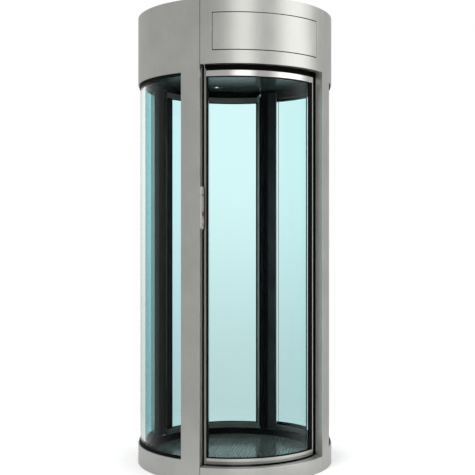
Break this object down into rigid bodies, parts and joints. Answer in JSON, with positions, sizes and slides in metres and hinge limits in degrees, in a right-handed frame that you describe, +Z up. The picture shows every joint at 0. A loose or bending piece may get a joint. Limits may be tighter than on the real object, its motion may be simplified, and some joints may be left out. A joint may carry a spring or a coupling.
{
  "type": "security vestibule",
  "caption": "Free-standing cylindrical interlock booth with opposed curved sliding glass doors, curved side glass, flush steel posts and a drum header.",
  "frame": {"origin": "on the ground in the middle of the booth", "axes": "+Z up, the front door faces -Y, +X to the right of a person who faces the front door"},
  "size_m": [1, 1, 2.28],
  "materials": {
    "cladding": "satin brushed stainless steel",
    "bright_steel": "bright anodised",
    "stile_metal": "grey anodised",
    "black_trim": "black powder coat",
    "seal_rubber": "matt black",
    "security_glass": "clear laminated, green-blue at the edge",
    "floor_rubber": "studded, slightly glossy",
    "frame_steel": "dark grey paint",
    "ceiling_gloss": "gloss dark blue-grey",
    "light_trim": "satin ring with a white lamp",
    "call_plate": "dark grey with a lens and a button",
    "roller_plastic": "natural nylon"
  },
  "bodies": {
    "booth": {"floor_pan": "frame_steel", "floor_mat": "floor_rubber", "plinth_front": "cladding", "plinth_rear": "cladding", "plinth_left": "cladding", "plinth_right": "cladding", "threshold_front": "bright_steel", "threshold_rear": "bright_steel", "post_front_left": "cladding", "post_front_right": "cladding", "post_rear_left": "cladding", "post_rear_right": "cladding", "post_liner_front_left": "black_trim", "post_liner_front_right": "black_trim", "post_liner_rear_left": "black_trim", "post_liner_rear_right": "black_trim", "side_glass_left": "security_glass", "side_glass_right": "security_glass", "glass_seals_left": "seal_rubber", "glass_seals_right": "seal_rubber", "header_front": "cladding", "header_rear": "cladding", "header_left": "cladding", "header_right": "cladding", "access_panel_front": "cladding", "access_panel_rear": "cladding", "roof_panel": "frame_steel", "ceiling_panel": "ceiling_gloss", "ceiling_shroud": "frame_steel", "downlights": "light_trim", "door_track": "frame_steel", "call_plate_front": "call_plate", "call_plate_rear": "call_plate"},
    "front_door": {"front_door_glass": "security_glass", "front_door_top_rail": "bright_steel", "front_door_bottom_rail": "bright_steel", "front_door_closing_stile": "stile_metal", "front_door_trailing_stile": "stile_metal", "front_door_rollers": "roller_plastic"},
    "rear_door": {"rear_door_glass": "security_glass", "rear_door_top_rail": "bright_steel", "rear_door_bottom_rail": "bright_steel", "rear_door_closing_stile": "stile_metal", "rear_door_trailing_stile": "stile_metal", "rear_door_rollers": "roller_plastic"}
  },
  "joints": [
    {"name": "front_door_slide", "type": "hinge", "parent": "booth", "child": "front_door", "pos_m": [0, 0, 1], "axis": [0, 0, 1], "range_deg": [0, 76]},
    {"name": "rear_door_slide", "type": "hinge", "parent": "booth", "child": "rear_door", "pos_m": [0, 0, 1], "axis": [0, 0, 1], "range_deg": [0, 76]}
  ]
}
